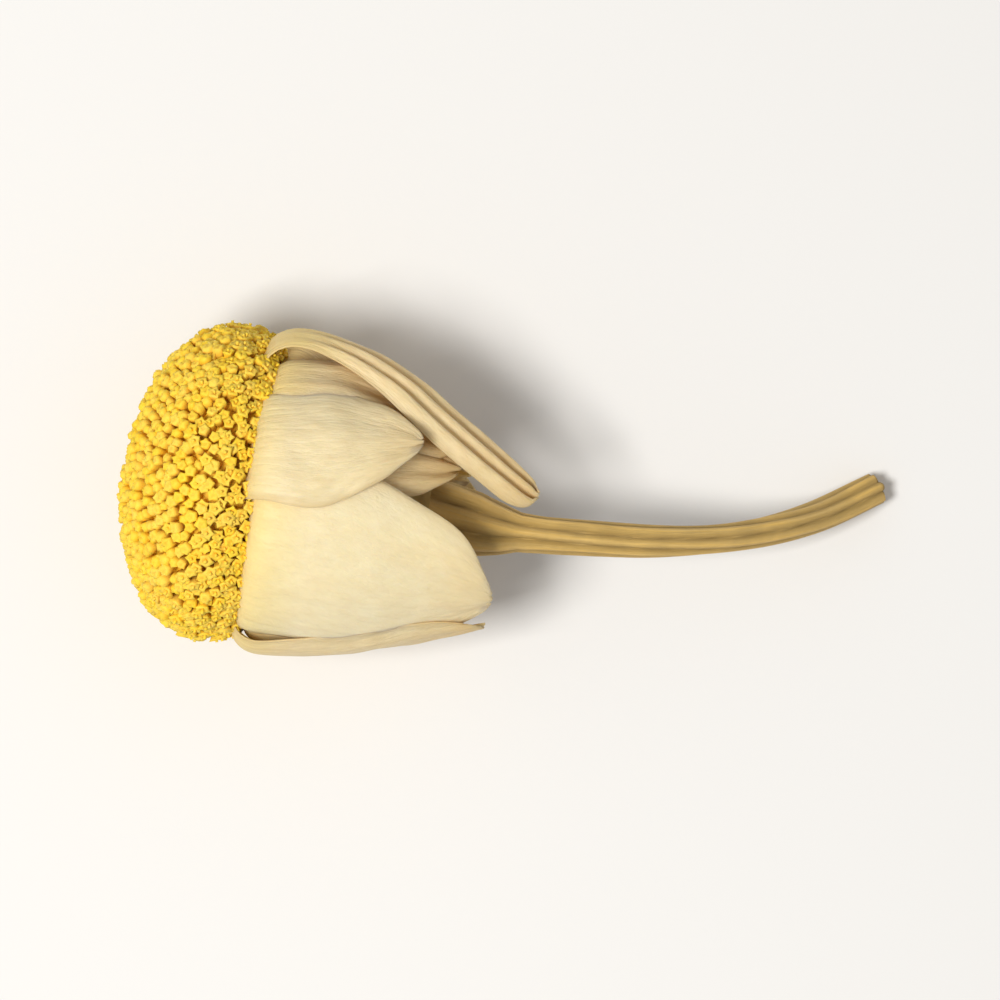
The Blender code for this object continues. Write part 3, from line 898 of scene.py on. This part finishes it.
def bract_sheet(rng, azimuth, foot, tip, width, stand, thickness):
    """Outer and inner surfaces of one bract, from its foot to its tip."""
    s = np.linspace(0.0, 1.0, 25)[:, None]
    c = np.linspace(-1.0, 1.0, 13)[None, :]
    depth = foot + (tip - foot) * (s - 0.08 * s**3 * np.abs(c) ** 3)
    half = 0.5 * width * through(s, BRACT_OUTLINE)
    sunk, wavy, keel = 0.00008, 0.00003, 0.00005
    lift = stand * rising(s, 0.0, 1.0 / 1.5) - sunk * (1.0 - s) ** 4
    lift = lift + wavy * s * ripples(rng, s, c, 4, 0.5, 1.5) + keel * (1.0 - np.abs(c) ** 0.8)
    radius = through(depth, CUP_PROFILE) + lift
    turn = azimuth + half * c / np.maximum(radius, 0.0008)
    middle = round_axis(turn, radius, 0.0, CUP_TOP - depth)
    thick = 0.5 * thickness * (1.0 - 0.7 * c**4) * (1.0 - 0.5 * s**8)
    outer, inner = two_sides(middle, round_axis(turn, 1.0, 0.0, 0.0), thick)
    fields = {"across": c, "along": s * 2.0 + rng.uniform(0.0, 50.0), "tone": rng.uniform(0.0, 1.0)}
    return outer, inner, fields


class CHAMOMILE_OT_involucre(bpy.types.Operator):
    """Build the cup under the disc and its rows of papery bracts"""

    bl_idname = "chamomile.involucre"
    bl_label = "Involucre"

    def execute(self, context):
        cup = settings().involucre
        matrix = head_matrix()
        material = bract_material()
        rng = np.random.default_rng(cup.seed)
        sheets = []
        for foot, tip, width, stand, first in BRACT_ROWS:
            for number in range(cup.count):
                azimuth = math.tau * (number + first + rng.uniform(-0.12, 0.12)) / cup.count
                top = tip + rng.uniform(-0.00012, 0.00012)
                wide = width * rng.uniform(0.9, 1.1)
                sheets.append(bract_sheet(rng, azimuth, foot, top, wide, stand, cup.thickness))
        mesh = shells("bracts", sheets, matrix)
        place_piece("bracts", mesh, material, ("involucre",))

        lid_radius, lid = 0.0022, CUP_TOP + 0.0001
        profile = [(0.0, lid), (lid_radius, lid)]
        for depth in np.linspace(0.0, CUP_PROFILE[-1][0], 20):
            profile.append((float(through(depth, CUP_PROFILE)), CUP_TOP - depth))
        profile += [(CUP_PROFILE[-1][1], CUP_END), (0.0, CUP_END)]
        body = lathe("cup", profile, 72, matrix)
        for key in ("across", "along", "tone"):
            body.attributes.new(key, "FLOAT", "POINT")
        place_piece("cup", body, material)
        return {"FINISHED"}


def smooth_route(points, steps):
    """Points along a Catmull-Rom curve through a route."""
    points = np.array(points)
    knots = np.concatenate([[2 * points[0] - points[1]], points, [2 * points[-1] - points[-2]]])
    found = []
    for at in np.linspace(0.0, len(points) - 1 - 1e-9, steps + 1):
        first, t = int(at), at - int(at)
        a, b, c, d = knots[first : first + 4]
        found.append(
            0.5 * (2 * b + (c - a) * t + (2 * a - 5 * b + 4 * c - d) * t**2 + (3 * b - a - 3 * c + d) * t**3)
        )
    return np.array(found)


def carried_frame(path):
    """Directions ahead, to the side and up at each point of a line, carried along without a twist."""
    ahead = unit(np.gradient(path, axis=0))
    side = np.zeros_like(path)
    side[0] = unit(np.cross(ahead[0], [0.0, 0.0, 1.0]))
    for k in range(1, len(path)):
        side[k] = unit(side[k - 1] - ahead[k] * side[k - 1].dot(ahead[k]))
    return ahead, side, np.cross(side, ahead)


class CHAMOMILE_OT_stalk(bpy.types.Operator):
    """Build the ribbed, shrunken stalk and its broken end"""

    bl_idname = "chamomile.stalk"
    bl_label = "Stalk"

    def execute(self, context):
        stalk = settings().stalk
        head = settings().head
        rng = np.random.default_rng(stalk.seed)
        steps, sides = 220, 70
        start = (head.rim_back + CUP_END) * np.array([-math.cos(head.yaw), math.sin(head.yaw), 0.0])
        path = smooth_route(STALK_ROUTE, steps) + start + np.array([0.0, 0.0, head.axis_height])
        lengths = running_length(path)[:, None]
        share = lengths / lengths[-1]
        ahead, side, up = carried_frame(path)

        # Twisted ribs, an uneven section and shrinkage
        turn = np.linspace(0.0, math.tau, sides, endpoint=False)[None, :]
        place = np.linspace(0.0, 1.0, steps + 1)[:, None]
        twist = turn + 0.9 * share
        ridge = np.abs(np.cos(0.5 * stalk.ribs * twist)) ** 0.7
        uneven = 1.0 + 0.12 * np.sin(2.0 * twist + 5.0 * share) * rising(place, 0.2, 0.5)
        shrink = 1.0 + 0.04 * ripples(rng, place, turn / math.pi, 8, 1.0, 6.0)
        depth = 0.26 - 0.10 * rising(place, 0.2, 0.0)
        radius = stalk.radius * through(place, FLARE) * (1.0 - depth * (1.0 - ridge)) * uneven * shrink
        points = (
            path[:, None, :]
            + side[:, None, :] * (radius * np.cos(turn))[:, :, None]
            + up[:, None, :] * (radius * np.sin(turn))[:, :, None]
        )

        # The broken end is ragged and closes inwards
        ragged = 0.00005 * ripples(rng, turn[0] / 6.0, turn[0] * 0.0, 5, 1.0, 6.0)
        points[-1] += ahead[-1] * ragged[:, None]
        tip = path[-1]
        rims = [tip + size * (points[-1] - tip) - back * ahead[-1] for size, back in STALK_CLOSING]
        points = np.concatenate([points, rims])
        points[:, :, 2] = np.maximum(points[:, :, 2], 0.0)

        rows = len(points)
        number = np.arange(rows * sides).reshape(rows, sides)
        right = np.roll(number, -1, axis=1)
        quads = (number[:-1], number[1:], right[1:], right[:-1])
        faces = np.stack([part.ravel() for part in quads], axis=1).tolist()
        faces += [number[0].tolist(), number[-1][::-1].tolist()]
        mesh = bpy.data.meshes.new("stalk")
        mesh.from_pydata(points.reshape(-1, 3).tolist(), [], faces)
        across = np.sin(0.5 * twist)
        fields = (("tone", ridge, 1.0), ("across", across, 0.0), ("along", lengths * 100.0, 0.0))
        for key, field, at_end in fields:
            values = np.full((rows, sides), at_end)
            values[: steps + 1] = field
            write_values(mesh, key, values.ravel())
        outward(mesh)
        place_piece("stalk_looks", mesh, stalk_material(), ("stalk",))
        return {"FINISHED"}


class CHAMOMILE_OT_stage(bpy.types.Operator):
    """Set up the ground, the lights and the camera"""

    bl_idname = "chamomile.stage"
    bl_label = "Stage"

    def execute(self, context):
        stage = settings().stage
        scene = context.scene
        centre = Vector(stage.centre)

        ground = bpy.data.meshes.new("floor")
        side = 0.6
        corners = [(x * side, y * side, 0.0) for x, y in ((-1, -1), (1, -1), (1, 1), (-1, 1))]
        ground.from_pydata(corners, [], [(0, 1, 2, 3)])
        floor = linked("floor", ground)
        material, tree, shader = new_material("Pale floor")
        shader.inputs["Base Color"].default_value = (*stage.floor, 1.0)
        shader.inputs["Roughness"].default_value = 0.9
        ground.materials.append(material)

        world = bpy.data.worlds.new("Studio")
        world.use_nodes = True
        background = world.node_tree.nodes["Background"]
        background.inputs["Color"].default_value = (1.0, 0.985, 0.96, 1.0)
        background.inputs["Strength"].default_value = stage.sky
        scene.world = world

        key = bpy.data.lights.new("key", "AREA")
        key.energy = stage.key_power
        key.size = 0.045
        key.color = (1.0, 0.97, 0.92)
        lamp = linked("key", key)
        away = Vector((-0.055, -0.018, 0.15))
        aim = away.to_track_quat("Z", "Y").to_matrix().to_4x4()
        lamp.matrix_world = Matrix.Translation(centre + away) @ aim

        camera = bpy.data.cameras.new("camera")
        camera.sensor_width = 36.0
        camera.lens = camera.sensor_width * stage.camera_height / stage.view_width
        camera.clip_start = 0.01
        camera.clip_end = 5.0
        viewer = linked("camera", camera)
        viewer.location = centre + Vector((0.0, 0.0, stage.camera_height))
        scene.camera = viewer
        scene.view_settings.view_transform = "Standard"
        return {"FINISHED"}


class ChamomileSettings(bpy.types.PropertyGroup):
    """Every setting of the flower and its stage"""

    head: PointerProperty(type=HeadSettings)
    disc: PointerProperty(type=DiscSettings)
    petals: PointerProperty(type=PetalSettings)
    involucre: PointerProperty(type=InvolucreSettings)
    stalk: PointerProperty(type=StalkSettings)
    stage: PointerProperty(type=StageSettings)


class CHAMOMILE_PT_panel(bpy.types.Panel):
    """Lists the flower's pieces and their settings"""

    bl_label = "Dried chamomile flower"
    bl_idname = "CHAMOMILE_PT_panel"
    bl_space_type = "VIEW_3D"
    bl_region_type = "UI"
    bl_category = "Chamomile"

    def draw(self, context):
        for name in ChamomileSettings.__annotations__:
            group = getattr(settings(), name)
            box = self.layout.box()
            for key in group.__annotations__:
                box.prop(group, key)
            if name != "head":
                box.operator(f"chamomile.{name}")


CLASSES = (
    HeadSettings,
    DiscSettings,
    PetalSettings,
    InvolucreSettings,
    StalkSettings,
    StageSettings,
    ChamomileSettings,
    CHAMOMILE_OT_stage,
    CHAMOMILE_OT_disc,
    CHAMOMILE_OT_petals,
    CHAMOMILE_OT_involucre,
    CHAMOMILE_OT_stalk,
    CHAMOMILE_PT_panel,
)


def register():
    """Adds the settings, the operators and the panel."""
    for made in CLASSES:
        bpy.utils.register_class(made)
    bpy.types.Scene.chamomile = PointerProperty(type=ChamomileSettings)


def unregister():
    """Takes the settings, the operators and the panel away."""
    del bpy.types.Scene.chamomile
    for made in reversed(CLASSES):
        bpy.utils.unregister_class(made)


def main():
    """Builds the stage and every piece."""
    register()
    bpy.ops.chamomile.stage()
    bpy.ops.chamomile.disc()
    bpy.ops.chamomile.petals()
    bpy.ops.chamomile.involucre()
    bpy.ops.chamomile.stalk()


if __name__ == "__main__":
    main()
